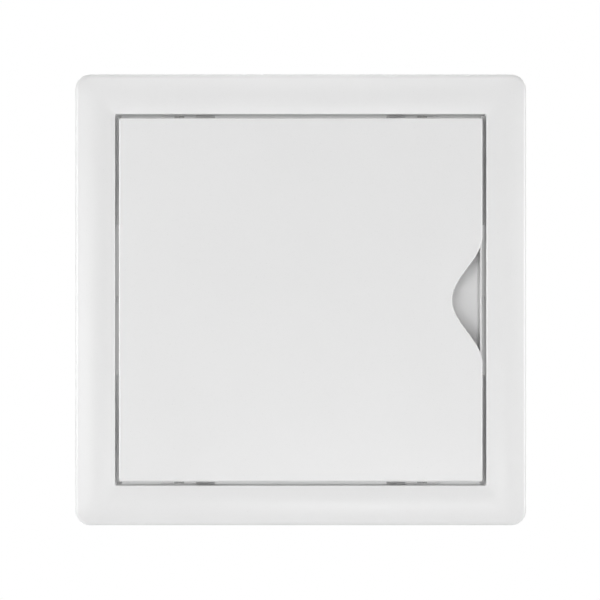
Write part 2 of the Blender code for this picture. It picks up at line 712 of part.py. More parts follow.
def clip_path():
    """Middle line of the clip's strip from its rolled eye to its hook, as (forward, outward) from the pivot.

    The second value is the number of points that the full width keeps. The tongue takes the rest.
    """
    turn = math.pi / 2 + CLIP_FLARE
    pivot = Vector((0.0, 0.0))
    start = turn + CLIP_EYE_TURN
    first = CLIP_EYE_RADIUS * Vector((math.cos(start), math.sin(start)))
    points = [first] + arc(pivot, CLIP_EYE_RADIUS, start, turn, EYE_STEPS)
    along = Vector((math.cos(CLIP_FLARE), math.sin(CLIP_FLARE)))
    points.append(points[-1] + CLIP_LEAF_LENGTH * along)
    nose = points[-1] + CLIP_NOSE_RADIUS * Vector((along.y, -along.x))
    points += arc(nose, CLIP_NOSE_RADIUS, turn, 0.0, NOSE_STEPS)
    full_width = len(points)
    hook_level = -NECK_WALL / 2 - CLIP_HOOK_CLEARANCE - CLIP_STRIP / 2
    bend = Vector((points[-1].x - CLIP_HOOK_RADIUS, hook_level + CLIP_HOOK_RADIUS))
    points.append(bend + Vector((CLIP_HOOK_RADIUS, 0.0)))
    points += arc(bend, CLIP_HOOK_RADIUS, 0.0, -math.pi / 2, HOOK_STEPS)
    points.append(points[-1] - Vector((CLIP_HOOK_LENGTH, 0.0)))
    return points, full_width


def clip_strip_mesh(name, up):
    """Open strip round the pivot, with three columns of which only the middle one runs on as the tongue."""
    points, full_width = clip_path()
    columns = (-CLIP_WIDTH / 2, -CLIP_TONGUE_WIDTH / 2, CLIP_TONGUE_WIDTH / 2, CLIP_WIDTH / 2)
    bm = bmesh.new()
    rows = []
    for index, point in enumerate(points):
        wide = columns if index < full_width else columns[1:3]
        rows.append([bm.verts.new((x, -point.x, up * point.y)) for x in wide])
    for index in range(1, len(rows)):
        before = rows[index - 1]
        after = rows[index]
        if len(before) > len(after):
            before = before[1:3]
        for column in range(len(after) - 1):
            bm.faces.new((before[column], before[column + 1], after[column + 1], after[column]))
    return mesh_from(bm, name)


def make_clips():
    """Each clip's origin is on its pin's axis."""
    length = 2 * (CLIP_BORE_HALF - CLIP_PIN_END_CLEARANCE)
    for place, across, up in clip_places():
        name = f"spring_clip_{place}"
        clip = add_object(name, clip_strip_mesh(name, up), panel, spring_steel)
        clip.location = (across * CLIP_OFFSET, CLIP_PIVOT_Y, up * CLIP_PIVOT_HALF)
        wall = clip.modifiers.new("strip thickness", "SOLIDIFY")
        wall.thickness = CLIP_STRIP
        wall.offset = 0.0
        wall.use_even_offset = True
        name = f"clip_pin_{place}"
        pin = add_object(name, clip_pin_rods(name, CLIP_PIN_RADIUS, length, across, up), panel, steel)
        round_rod_ends(pin, CLIP_PIN_RADIUS)


clear_scene()
panel = make_collection("ceiling_access_panel")
cutters = make_collection("cutters")
white = make_material("white_abs", (0.80, 0.80, 0.79), 0.35, 0.0)
steel = make_material("stainless_pin", (0.60, 0.60, 0.59), 0.30, 1.0)
spring_steel = make_material("spring_steel", (0.55, 0.55, 0.54), 0.25, 1.0)
make_frame()
make_door()
make_hinge_pins()
make_clips()
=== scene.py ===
# Square ceiling access panel with a hinged, flush door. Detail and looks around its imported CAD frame.
# The dictionaries give sizes in millimetres, and mm turns them to metres. Only the lamps are in metres.
# +X is right, +Y goes into the ceiling, +Z is up in the photograph, and the door hangs on its left side.
import math

import bmesh
import bpy
from mathutils import Matrix, Vector


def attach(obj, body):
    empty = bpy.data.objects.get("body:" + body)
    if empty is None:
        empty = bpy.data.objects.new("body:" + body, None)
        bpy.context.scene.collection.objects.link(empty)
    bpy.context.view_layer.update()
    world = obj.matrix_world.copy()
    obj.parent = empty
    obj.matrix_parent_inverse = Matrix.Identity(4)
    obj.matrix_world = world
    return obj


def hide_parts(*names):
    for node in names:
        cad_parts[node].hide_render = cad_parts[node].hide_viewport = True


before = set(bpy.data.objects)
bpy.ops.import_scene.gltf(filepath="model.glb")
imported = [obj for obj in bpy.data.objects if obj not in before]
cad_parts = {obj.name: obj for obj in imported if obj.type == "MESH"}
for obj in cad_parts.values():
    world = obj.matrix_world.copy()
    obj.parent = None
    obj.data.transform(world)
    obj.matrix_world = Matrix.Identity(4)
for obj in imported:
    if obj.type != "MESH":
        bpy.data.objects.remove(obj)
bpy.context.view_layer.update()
scene = bpy.context.scene
scene.view_settings.view_transform = "Standard"
mm = 0.001
quarter = math.pi / 2  # a quarter turn
faceY = -3.4  # mm, the level of the door's face and of the flange's inner edge
weld = {"mesh": 0.0005, "ring": 0.002}  # mm, points that lie closer become one
noiseSpan = (0.3, 0.7)  # most values of a noise texture lie between these
shading = {"sharp": math.radians(32), "flatWeight": 80}  # sharp edges, and how far large faces stay flat
print("frame loaded:", len(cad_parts), "CAD nodes")


def linearColour(code):
    # sRGB hex to linear red, green, blue and alpha
    channels = [int(code[i:i + 2], 16) / 255 for i in (1, 3, 5)]
    linear = [c / 12.92 if c <= 0.04045 else ((c + 0.055) / 1.055) ** 2.4 for c in channels]
    return (*linear, 1.0)


def addNode(tree, kind, links=None, **settings):
    # One node. links gives each input, by name or number, a value or another node's output
    node = tree.nodes.new(kind)
    for name, value in settings.items():
        setattr(node, name, value)
    for name, value in (links or {}).items():
        if isinstance(value, bpy.types.NodeSocket):
            tree.links.new(value, node.inputs[name])
        else:
            node.inputs[name].default_value = value
    return node


# Camera: as far away as the depth of the gaps shows, and level with the panel
camera = {"distance": 850.0, "lens": 128.0, "sensor": 36.0, "right": -0.28, "up": -0.06}


def makeCamera():
    data = bpy.data.cameras.new("camera")
    data.lens = camera["lens"]
    data.sensor_width = camera["sensor"]
    item = bpy.data.objects.new("camera", data)
    item.location = (camera["right"] * mm, (faceY - camera["distance"]) * mm, camera["up"] * mm)
    item.rotation_euler = (quarter, 0.0, 0.0)
    scene.collection.objects.link(item)
    scene.camera = item


makeCamera()

# Materials
plastic = {
    "colour": "#E8E8E8",
    "colourDeep": "#E5E5E5",
    "roughness": (0.27, 0.33),  # of the polished front
    "backRoughness": 0.36,  # added where the mould is only spark-eroded
    "polished": (-2.2, -1.2),  # mm, the range of Y over which the polish ends
    "ior": 1.54,
    "cloud": 38.0,  # mm, slow drift of the shade from the melt's flow
    "grain": 0.45,  # mm, spark-eroded mould texture, drawn coarser than its real 0.1 mm
    "grainHeight": 0.004,  # mm
    "pocket": {"X": (56.0, 70.9), "Y": (-1.3, 5.7), "Z": (-26.5, 26.5)},  # mm, inside of the finger pocket, where light is painted into the colour
    "pocketPaintedLight": "#F8F8F8",  # painted light: a paler colour that lifts the pocket's shade, for the light its thin walls let through
}
# Steel. A streak is given in mm across, wider than a real scratch so that it shows, and in mm along the run
# of the metal. Its depth is in mm too
strip = {
    "colour": "#C7C7C7", "colourDeep": "#BBBBBB", "roughness": (0.24, 0.32),
    "streak": (0.25, 25.0), "streakDepth": 0.0002,
}
wire = {
    "colour": "#CECECE", "colourDeep": "#BFBFBF", "roughness": (0.20, 0.28),
    "streak": (0.12, 25.0), "streakDepth": 0.0002,
}


def newMaterial(name):
    material = bpy.data.materials.new(name)
    material.use_nodes = True
    tree = material.node_tree
    tree.nodes.clear()
    return material, tree


def mouldedAbs():
    # White ABS: an even, softly glossy skin in front, from a polished mould, a matt one in the gaps and
    # behind, and painted light inside the finger pocket: a paler colour that lifts its shade
    material, tree = newMaterial("white moulded ABS")
    place = addNode(tree, "ShaderNodeTexCoord").outputs["Object"]
    cloud = addNode(tree, "ShaderNodeTexNoise", {
        "Vector": place, "Scale": 1 / (plastic["cloud"] * mm), "Detail": 2.0, "Roughness": 0.5,
    })
    tint = addNode(tree, "ShaderNodeMix", {
        "Factor": cloud.outputs["Fac"],
        6: linearColour(plastic["colourDeep"]), 7: linearColour(plastic["colour"]),
    }, data_type="RGBA")
    grain = addNode(tree, "ShaderNodeTexNoise", {
        "Vector": place, "Scale": 1 / (plastic["grain"] * mm), "Detail": 3.0, "Roughness": 0.55,
    })
    gloss = addNode(tree, "ShaderNodeMapRange", {
        "Value": grain.outputs["Fac"], "From Min": noiseSpan[0], "From Max": noiseSpan[1],
        "To Min": plastic["roughness"][0], "To Max": plastic["roughness"][1],
    })
    axes = addNode(tree, "ShaderNodeSeparateXYZ", {0: place}).outputs
    # Mask of the finger pocket's inside, where painted light makes the colour paler
    pocketLightMask = 1.0
    for axis, (low, high) in plastic["pocket"].items():
        within = addNode(tree, "ShaderNodeMath", {
            0: axes[axis], 1: (low + high) / 2 * mm, 2: (high - low) / 2 * mm,
        }, operation="COMPARE").outputs[0]
        pocketLightMask = addNode(tree, "ShaderNodeMath", {0: pocketLightMask, 1: within}, operation="MULTIPLY").outputs[0]
    # Painted light: inside the pocket the colour turns paler, which lifts the shade of the recess
    tintWithPaintedLight = addNode(tree, "ShaderNodeMix", {
        "Factor": pocketLightMask, 6: tint.outputs[2], 7: linearColour(plastic["pocketPaintedLight"]),
    }, data_type="RGBA")
    ends = [y * mm for y in plastic["polished"]]
    matt = addNode(tree, "ShaderNodeMapRange", {
        "Value": axes["Y"], "From Min": ends[0], "From Max": ends[1],
        "To Min": 0.0, "To Max": plastic["backRoughness"],
    })
    rough = addNode(tree, "ShaderNodeMath", {0: gloss.outputs["Result"], 1: matt.outputs["Result"]})
    bump = addNode(tree, "ShaderNodeBump", {
        "Height": grain.outputs["Fac"], "Strength": 1.0, "Distance": plastic["grainHeight"] * mm,
    })
    shader = addNode(tree, "ShaderNodeBsdfPrincipled", {
        "Base Color": tintWithPaintedLight.outputs[2], "Roughness": rough.outputs[0],
        "Normal": bump.outputs["Normal"], "IOR": plastic["ior"],
    })
    addNode(tree, "ShaderNodeOutputMaterial", {"Surface": shader.outputs["BSDF"]})
    return material


def drawnMetal(name, look, across):
    # Stainless steel, rolled or drawn: a satin grey with streaks that are narrow along the axes in across
    material, tree = newMaterial(name)
    place = addNode(tree, "ShaderNodeTexCoord").outputs["Object"]
    narrow, run = look["streak"]
    stretch = [1 / ((narrow if axis in across else run) * mm) for axis in "XYZ"]
    turn = addNode(tree, "ShaderNodeMapping", {"Vector": place, "Scale": stretch})
    streak = addNode(tree, "ShaderNodeTexNoise", {
        "Vector": turn.outputs["Vector"], "Scale": 1.0, "Detail": 3.0, "Roughness": 0.6,
    })
    tint = addNode(tree, "ShaderNodeMix", {
        "Factor": streak.outputs["Fac"],
        6: linearColour(look["colourDeep"]), 7: linearColour(look["colour"]),
    }, data_type="RGBA")
    gloss = addNode(tree, "ShaderNodeMapRange", {
        "Value": streak.outputs["Fac"], "From Min": noiseSpan[0], "From Max": noiseSpan[1],
        "To Min": look["roughness"][0], "To Max": look["roughness"][1],
    })
    bump = addNode(tree, "ShaderNodeBump", {
        "Height": streak.outputs["Fac"], "Strength": 1.0, "Distance": look["streakDepth"] * mm,
    })
    shader = addNode(tree, "ShaderNodeBsdfPrincipled", {
        "Base Color": tint.outputs[2], "Roughness": gloss.outputs["Result"],
        "Normal": bump.outputs["Normal"], "Metallic": 1.0,
    })
    addNode(tree, "ShaderNodeOutputMaterial", {"Surface": shader.outputs["BSDF"]})
    return material


whiteAbs = mouldedAbs()
springStrip = drawnMetal("rolled stainless spring strip", strip, "X")
hingeWire = drawnMetal("drawn stainless wire upright", wire, "XY")
clipWire = drawnMetal("drawn stainless wire level", wire, "YZ")
print("materials ready")


# Mesh helpers
def geometryTree(name, sizes):
    # An empty tree whose inputs have these names and values. The one without a value is its material
    tree = bpy.data.node_groups.new(name, "GeometryNodeTree")
    tree.interface.new_socket("Geometry", in_out="INPUT", socket_type="NodeSocketGeometry")
    kinds = {int: "NodeSocketInt", float: "NodeSocketFloat", type(None): "NodeSocketMaterial"}
    for label, value in sizes.items():
        socket = tree.interface.new_socket(label, in_out="INPUT", socket_type=kinds[type(value)])
        if value is not None:
            socket.default_value = value
    tree.interface.new_socket("Geometry", in_out="OUTPUT", socket_type="NodeSocketGeometry")
    return tree


def meshFromTree(name, tree, source, values):
    # Runs a tree on a source mesh and gives back its result as a plain mesh
    maker = bpy.data.objects.new(name, source)
    scene.collection.objects.link(maker)
    modifier = maker.modifiers.new(name, "NODES")
    modifier.node_group = tree
    for item in tree.interface.items_tree:
        if item.in_out == "INPUT" and item.name in values:
            modifier[item.identifier] = values[item.name]
    graph = bpy.context.evaluated_depsgraph_get()
    mesh = bpy.data.meshes.new_from_object(maker.evaluated_get(graph), depsgraph=graph)
    maker.modifiers.remove(modifier)
    bpy.data.objects.remove(maker, do_unlink=True)
    return mesh


def meshFromBmesh(bm, name):
    # Ends a bmesh as a mesh without doubles, whose faces point outwards
    bmesh.ops.remove_doubles(bm, verts=bm.verts, dist=weld["mesh"] * mm)
    bmesh.ops.recalc_face_normals(bm, faces=bm.faces)
    mesh = bpy.data.meshes.new(name)
    bm.to_mesh(mesh)
    bm.free()
    return mesh


def addMesh(bm, mesh, matrix=None):
    # Adds a copy of a mesh to a bmesh, placed by a matrix
    copy = mesh.copy()
    if matrix:
        copy.transform(matrix)
    bm.from_mesh(copy)
    bpy.data.meshes.remove(copy)


def addBlock(bm, x, y, z, radius=0.2, steps=2):
    # Box between two x, two y and two z values in mm, with rounded edges
    part = bmesh.new()
    size = [(pair[1] - pair[0]) * mm for pair in (x, y, z)]
    centre = [(pair[1] + pair[0]) / 2 * mm for pair in (x, y, z)]
    bmesh.ops.create_cube(part, size=1.0, matrix=Matrix.Translation(centre) @ Matrix.Diagonal((*size, 1.0)))
    if radius:
        bmesh.ops.bevel(
            part, geom=list(part.edges), offset=radius * mm, segments=steps, profile=0.5, affect="EDGES",
        )
    mesh = bpy.data.meshes.new("block")
    part.to_mesh(mesh)
    part.free()
    addMesh(bm, mesh)
    bpy.data.meshes.remove(mesh)


def addRod(bm, centre, radius, length, along, chamfer=0.0, steps=32, chamferSteps=4):
    # Rod along X or Z round a centre in mm, with its two rims rounded by the chamfer
    turn = Matrix.Rotation(quarter, 4, "Y") if along == "X" else Matrix.Identity(4)
    place = Matrix.Translation([value * mm for value in centre]) @ turn
    part = bmesh.new()
    bmesh.ops.create_cone(
        part, cap_ends=True, segments=steps, radius1=radius * mm, radius2=radius * mm, depth=length * mm,
    )
    if chamfer:
        rims = [edge for edge in part.edges if edge.calc_face_angle(0.0) > 1.0]  # turns by over a radian
        bmesh.ops.bevel(
            part, geom=rims, offset=chamfer * mm, segments=chamferSteps, profile=0.5, affect="EDGES",
        )
    part.transform(place)
    mesh = bpy.data.meshes.new("rod")
    part.to_mesh(mesh)
    part.free()
    addMesh(bm, mesh)
    bpy.data.meshes.remove(mesh)


def bothSides(span):
    # A span along one axis, and its mirror image
    return (span, (-span[1], -span[0]))


def roundedOutline(low, high, radius, steps=12):
    # Corner-rounded rectangle in mm as 2D points, counter-clockwise
    points = []
    corners = (
        (high[0] - radius, low[1] + radius, -quarter),
        (high[0] - radius, high[1] - radius, 0.0),
        (low[0] + radius, high[1] - radius, quarter),
        (low[0] + radius, low[1] + radius, math.pi),
    )
    for across, up, start in corners:
        for step in range(steps + 1):
            angle = start + quarter * step / steps
            points.append((across + radius * math.cos(angle), up + radius * math.sin(angle)))
    return points


def prism(outline, low, high, rounded=None):
    # Plate with an outline in X and Z between two y values. rounded holds an end, a radius and steps, and
    # rounds the edges of the face at the "low" or "high" y
    bm = bmesh.new()
    rims = {}
    for end, y in (("low", low), ("high", high)):
        rims[end] = [bm.verts.new((x * mm, y * mm, z * mm)) for x, z in outline]
        bm.faces.new(rims[end])
    count = len(outline)
    for index in range(count):
        after = (index + 1) % count
        bm.faces.new((rims["low"][index], rims["low"][after], rims["high"][after], rims["high"][index]))
    bmesh.ops.recalc_face_normals(bm, faces=bm.faces)
    if rounded:
        end, radius, steps = rounded
        ring = set(rims[end])
        edges = [edge for edge in bm.edges if edge.verts[0] in ring and edge.verts[1] in ring]
        bmesh.ops.bevel(bm, geom=edges, offset=radius * mm, segments=steps, profile=0.5, affect="EDGES")
    return meshFromBmesh(bm, "prism")


def extruded(outline, thickness, places):
    # Solids with an outline in X and Y, centred on their own plane, one for each matrix
    bm = bmesh.new()
    flat = prism(outline, -thickness / 2, thickness / 2)
    lay = Matrix(((1, 0, 0, 0), (0, 0, 1, 0), (0, 1, 0, 0), (0, 0, 0, 1)))
    for place in places:
        addMesh(bm, flat, place @ lay)
    bpy.data.meshes.remove(flat)
    return meshFromBmesh(bm, "extruded")


class Builder:
    # A piece under construction: a mesh to which solids are joined and from which they are cut
    def __init__(self, name, mesh):
        self.item = bpy.data.objects.new(name, mesh)
        scene.collection.objects.link(self.item)
        self.tools = []

    def combine(self, mesh, operation):
        tool = bpy.data.objects.new("tool", mesh)
        scene.collection.objects.link(tool)
        modifier = self.item.modifiers.new(operation.lower(), "BOOLEAN")
        modifier.operation = operation
        modifier.solver = "EXACT"
        modifier.object = tool
        self.tools.append(tool)

    def join(self, mesh):
        self.combine(mesh, "UNION")

    def cut(self, mesh):
        self.combine(mesh, "DIFFERENCE")

    def mesh(self):
        graph = bpy.context.evaluated_depsgraph_get()
        result = bpy.data.meshes.new_from_object(self.item.evaluated_get(graph), depsgraph=graph)
        for item in [self.item, *self.tools]:
            bpy.data.objects.remove(item, do_unlink=True)
        return result


def finishPiece(name, mesh, material, body, node):
    # Smooth faces that stay flat where they are flat, one material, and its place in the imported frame
    bm = bmesh.new()
    bm.from_mesh(mesh)
    bmesh.ops.remove_doubles(bm, verts=bm.verts, dist=weld["mesh"] * mm)
    bm.to_mesh(mesh)
    bm.free()
    mesh.materials.clear()
    mesh.materials.append(material)
    mesh.polygons.foreach_set("material_index", [0] * len(mesh.polygons))
    mesh.shade_smooth()
    mesh.set_sharp_from_angle(angle=shading["sharp"])
    piece = bpy.data.objects.new(name, mesh)
    scene.collection.objects.link(piece)
    even = piece.modifiers.new("even faces", "WEIGHTED_NORMAL")
    even.keep_sharp = True
    even.weight = shading["flatWeight"]
    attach(piece, body)
    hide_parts(node)
    triangles = sum(len(polygon.vertices) - 2 for polygon in mesh.polygons)
    print("piece", name, triangles, "triangles")
    return piece


# Frame: flange, return lip and neck as one ring, with stops, ribs, hinge ears and clip seats
frameSizes = {
    "openingHalf": 74.0, "openingCorner": 0.6, "openingEdge": 0.5,
    "flange": 16.0, "frontY": faceY, "crown": 0.6, "outerCorner": 6.0, "outerEdge": 2.0,
    "skin": 2.0, "lip": 2.0, "lipEdge": 0.3, "neckWall": 1.6, "neckEnd": 19.0, "chamfer": 0.3,
    "cornerSteps": 16, "edgeSteps": 5, "crownSteps": 20, "outerSteps": 10, "lipSteps": 3,
    "ledgeDepth": 8.3, "ledgeThick": 2.2, "ledgeWide": 1.9, "ledgeWindow": 60.2,
    "tabWide": 7.6, "tabLong": 2.6, "tabOffset": 38.3,
    "ribPitch": 24.0, "ribsInRow": 5, "ribThick": 1.2, "ribDrop": 0.4, "ribEdge": 0.25,
    "catchDepth": 7.2, "catchProud": 0.45, "catchLong": 3.0, "catchChamfer": 0.15,
    "overlap": 0.5,  # how far a solid reaches into its neighbour, or a cut past the surface
}
hinge = {
    "x": -68.0625, "depth": 3.8, "offset": 50.0, "radius": 1.5, "knuckle": 8.0,
    "pin": 0.7, "pinChamfer": 0.23, "press": 0.1, "bore": 0.25,
    "ear": 3.0, "gap": 0.4, "legLeft": 0.2, "legRight": 2.0,
    "bracketDepth": 10.0375, "bracketThick": 2.0, "proud": 0.3,
}
clip = {
    "offset": 49.0, "wide": 14.0, "thick": 0.5, "side": 0.5, "edge": 0.08, "edgeAngle": math.radians(60),
    "pin": 0.7, "pinChamfer": 0.23, "pinGap": 0.1, "press": 0.1, "bore": 0.25,
    "pivotY": 16.4, "pivotHalf": 74.8, "eyeTurn": math.radians(300), "flare": math.radians(18),
    "leaf": 8.6, "nose": 1.0, "tongue": 4.0, "hook": 0.7, "hookLong": 1.6, "hookGap": 0.3, "notchGap": 0.6,
    "eyeSteps": 40, "leafSteps": 8, "noseSteps": 16, "hookSteps": 10,
    "boss": 3.5, "bossLong": 2.6, "bossProud": 1.0, "bossEnd": 0.5, "slit": 1.0,
    "window": 4.0, "windowCorner": 1.9, "windowCut": 4.0,
}


def frameSection():
    # Half size, y and corner radius of each ring round the frame's section, as a closed loop
    s = frameSizes
    flatStart = s["openingHalf"] + s["openingEdge"]
    outer = s["openingHalf"] + s["flange"]
    flatEnd = outer - s["outerEdge"]
    frontY = s["frontY"]

    def corner(half):
        share = (half - s["openingHalf"]) / s["flange"]
        return s["openingCorner"] + share * (s["outerCorner"] - s["openingCorner"])

    rings = []
    for step in range(s["edgeSteps"]):
        angle = quarter * step / s["edgeSteps"]
        half = flatStart - s["openingEdge"] * math.cos(angle)
        rings.append((half, frontY + s["openingEdge"] * (1 - math.sin(angle)), corner(half)))
    for step in range(s["crownSteps"] + 1):
        share = step / s["crownSteps"]
        half = flatStart + share * (flatEnd - flatStart)
        rings.append((half, frontY - s["crown"] * math.sin(math.pi * share), corner(half)))
    for step in range(1, s["outerSteps"] + 1):
        angle = quarter * step / s["outerSteps"]
        half = flatEnd + s["outerEdge"] * math.sin(angle)
        rings.append((half, frontY + s["outerEdge"] * (1 - math.cos(angle)), corner(half)))
    edge = s["lipEdge"]
    for half, y, start in ((outer - edge, -edge, 0.0), (outer - s["lip"] + edge, -edge, quarter)):
        for step in range(s["lipSteps"] + 1):
            angle = start + quarter * step / s["lipSteps"]
            at = half + edge * math.cos(angle)
            rings.append((at, y + edge * math.sin(angle), s["outerCorner"] - (outer - at)))
    skinY = frontY - s["crown"] + s["skin"]
    lipHalf = outer - s["lip"]
    neckHalf = s["openingHalf"] + s["neckWall"]
    neckCorner = s["openingCorner"] + s["neckWall"]
    for step in range(s["lipSteps"] + 1):  # root radius between lip and skin
        angle = quarter * step / s["lipSteps"]
        at = lipHalf - edge + edge * math.cos(angle)
        rings.append((at, skinY + edge - edge * math.sin(angle), s["outerCorner"] - (outer - at)))
    for step in range(s["lipSteps"] + 1):  # root radius between skin and neck
        angle = quarter * step / s["lipSteps"]
        at = neckHalf + edge - edge * math.sin(angle)
        rings.append((at, skinY + edge - edge * math.cos(angle), neckCorner + at - neckHalf))
    chamfer = s["chamfer"]
    rings.append((neckHalf, s["neckEnd"] - chamfer, neckCorner))
    rings.append((neckHalf - chamfer, s["neckEnd"], neckCorner - chamfer))
    rings.append((s["openingHalf"], s["neckEnd"], s["openingCorner"]))
    return rings


def ringTree():
    # Lofts rounded squares. Each source vertex holds a ring's half size, y and corner radius as its place
    tree = geometryTree("ring of rounded squares", {"Corner steps": 16, "Material": None})
    given = addNode(tree, "NodeGroupInput").outputs
    corners = given["Corner steps"]
    rings = addNode(tree, "GeometryNodeAttributeDomainSize", {0: given["Geometry"]}, component="MESH")
    rows = rings.outputs["Point Count"]
    perCorner = addNode(tree, "ShaderNodeMath", {0: corners, 1: 1.0}, operation="ADD").outputs[0]
    columns = addNode(tree, "ShaderNodeMath", {0: perCorner, 1: 4.0}, operation="MULTIPLY").outputs[0]
    moreColumns = addNode(tree, "ShaderNodeMath", {0: columns, 1: 1.0}, operation="ADD").outputs[0]
    moreRows = addNode(tree, "ShaderNodeMath", {0: rows, 1: 1.0}, operation="ADD").outputs[0]
    grid = addNode(tree, "GeometryNodeMeshGrid", {
        "Size X": columns, "Size Y": rows, "Vertices X": moreColumns, "Vertices Y": moreRows,
    })
    at = addNode(tree, "GeometryNodeInputPosition").outputs["Position"]
    gridAt = addNode(tree, "ShaderNodeSeparateXYZ", {0: at}).outputs
    numbers = []
    for value, count in ((gridAt["X"], columns), (gridAt["Y"], rows)):
        shifted = addNode(tree, "ShaderNodeMath", {0: count, 1: 0.5, 2: value}, operation="MULTIPLY_ADD")
        whole = addNode(tree, "ShaderNodeMath", {0: shifted.outputs[0]}, operation="ROUND")
        wrapped = addNode(tree, "ShaderNodeMath", {
            0: whole.outputs[0], 1: count,
        }, operation="FLOORED_MODULO")
        numbers.append(wrapped.outputs[0])
    column, row = numbers
    ring = addNode(tree, "GeometryNodeSampleIndex", {
        "Geometry": given["Geometry"], "Value": at, "Index": row,
    }, data_type="FLOAT_VECTOR", domain="POINT")
    ringAt = addNode(tree, "ShaderNodeSeparateXYZ", {0: ring.outputs["Value"]}).outputs
    half, y, radius = ringAt["X"], ringAt["Y"], ringAt["Z"]
    share = addNode(tree, "ShaderNodeMath", {0: column, 1: perCorner}, operation="DIVIDE").outputs[0]
    corner = addNode(tree, "ShaderNodeMath", {0: share}, operation="FLOOR").outputs[0]
    start = addNode(tree, "ShaderNodeMath", {0: corner, 1: quarter}, operation="MULTIPLY").outputs[0]
    step = addNode(tree, "ShaderNodeMath", {0: column, 1: perCorner}, operation="FLOORED_MODULO").outputs[0]
    turned = addNode(tree, "ShaderNodeMath", {0: step, 1: corners}, operation="DIVIDE").outputs[0]
    angle = addNode(tree, "ShaderNodeMath", {
        0: turned, 1: quarter, 2: start,
    }, operation="MULTIPLY_ADD").outputs[0]
    middle = addNode(tree, "ShaderNodeMath", {0: start, 1: quarter / 2}, operation="ADD").outputs[0]
    straight = addNode(tree, "ShaderNodeMath", {0: half, 1: radius}, operation="SUBTRACT").outputs[0]
    places = []
    for operation in ("COSINE", "SINE"):
        side = addNode(tree, "ShaderNodeMath", {0: middle}, operation=operation)
        sign = addNode(tree, "ShaderNodeMath", {0: side.outputs[0]}, operation="SIGN")
        out = addNode(tree, "ShaderNodeMath", {0: sign.outputs[0], 1: straight}, operation="MULTIPLY")
        arc = addNode(tree, "ShaderNodeMath", {0: angle}, operation=operation)
        both = addNode(tree, "ShaderNodeMath", {
            0: arc.outputs[0], 1: radius, 2: out.outputs[0],
        }, operation="MULTIPLY_ADD")
        places.append(both.outputs[0])
    position = addNode(tree, "ShaderNodeCombineXYZ", {"X": places[0], "Y": y, "Z": places[1]})
    placed = addNode(tree, "GeometryNodeSetPosition", {
        "Geometry": grid.outputs["Mesh"], "Position": position.outputs["Vector"],
    })
    closed = addNode(tree, "GeometryNodeMergeByDistance", {
        "Geometry": placed.outputs["Geometry"], "Distance": weld["ring"] * mm,
    })
    real = addNode(tree, "GeometryNodeRealizeInstances", {"Geometry": closed.outputs["Geometry"]})
    coated = addNode(tree, "GeometryNodeSetMaterial", {
        "Geometry": real.outputs["Geometry"], "Material": given["Material"],
    })
    addNode(tree, "NodeGroupOutput", {"Geometry": coated.outputs["Geometry"]})
    return tree


def ribTree():
    # A row of ribs with rounded edges, repeated round the Y axis. Sizes in metres
    sizes = {
        "Pitch": 0.024, "Count": 5, "Thickness": 0.0012, "Height": 0.002, "Length": 0.013,
        "Edge radius": 0.0003, "Distance": 0.082, "Level": 0.0, "Rows": 4, "Material": None,
    }
    tree = geometryTree("rows of ribs", sizes)
    given = addNode(tree, "NodeGroupInput").outputs
    face = addNode(tree, "GeometryNodeCurvePrimitiveQuadrilateral", {
        "Width": given["Thickness"], "Height": given["Height"],
    })
    rounded = addNode(tree, "GeometryNodeFilletCurve", {
        "Curve": face.outputs["Curve"], "Radius": given["Edge radius"], "Count": 3,
    }, mode="POLY")
    length, distance = given["Length"], given["Distance"]
    backHalf = addNode(tree, "ShaderNodeMath", {0: length, 1: -0.5}, operation="MULTIPLY").outputs[0]
    nearEnd = addNode(tree, "ShaderNodeMath", {0: distance, 1: backHalf}, operation="ADD").outputs[0]
    farEnd = addNode(tree, "ShaderNodeMath", {0: distance, 1: backHalf}, operation="SUBTRACT").outputs[0]
    start = addNode(tree, "ShaderNodeCombineXYZ", {"Y": given["Level"], "Z": nearEnd}).outputs[0]
    end = addNode(tree, "ShaderNodeCombineXYZ", {"Y": given["Level"], "Z": farEnd}).outputs[0]
    line = addNode(tree, "GeometryNodeCurvePrimitiveLine", {"Start": start, "End": end})
    rib = addNode(tree, "GeometryNodeCurveToMesh", {
        "Curve": line.outputs["Curve"], "Profile Curve": rounded.outputs["Curve"], "Fill Caps": True,
    })
    count, pitch = given["Count"], given["Pitch"]
    fewer = addNode(tree, "ShaderNodeMath", {0: count, 1: -1.0}, operation="ADD").outputs[0]
    rowHalf = addNode(tree, "ShaderNodeMath", {0: fewer, 1: -0.5}, operation="MULTIPLY").outputs[0]
    first = addNode(tree, "ShaderNodeMath", {0: rowHalf, 1: pitch}, operation="MULTIPLY").outputs[0]
    firstAt = addNode(tree, "ShaderNodeCombineXYZ", {"X": first}).outputs[0]
    apart = addNode(tree, "ShaderNodeCombineXYZ", {"X": pitch}).outputs[0]
    spots = addNode(tree, "GeometryNodeMeshLine", {
        "Count": count, "Start Location": firstAt, "Offset": apart,
    }, mode="OFFSET")
    row = addNode(tree, "GeometryNodeInstanceOnPoints", {
        "Points": spots.outputs["Mesh"], "Instance": rib.outputs["Mesh"],
    })
    centre = addNode(tree, "GeometryNodeMeshLine", {
        "Count": given["Rows"], "Offset": (0.0, 0.0, 0.0),
    }, mode="OFFSET")
    index = addNode(tree, "GeometryNodeInputIndex").outputs[0]
    turn = addNode(tree, "ShaderNodeMath", {0: index, 1: quarter}, operation="MULTIPLY").outputs[0]
    spin = addNode(tree, "ShaderNodeCombineXYZ", {"Y": turn}).outputs[0]
    ringOfRows = addNode(tree, "GeometryNodeInstanceOnPoints", {
        "Points": centre.outputs["Mesh"], "Instance": row.outputs["Instances"], "Rotation": spin,
    })
    real = addNode(tree, "GeometryNodeRealizeInstances", {"Geometry": ringOfRows.outputs["Instances"]})
    coated = addNode(tree, "GeometryNodeSetMaterial", {
        "Geometry": real.outputs["Geometry"], "Material": given["Material"],
    })
    addNode(tree, "NodeGroupOutput", {"Geometry": coated.outputs["Geometry"]})
    return tree


ribs = ribTree()


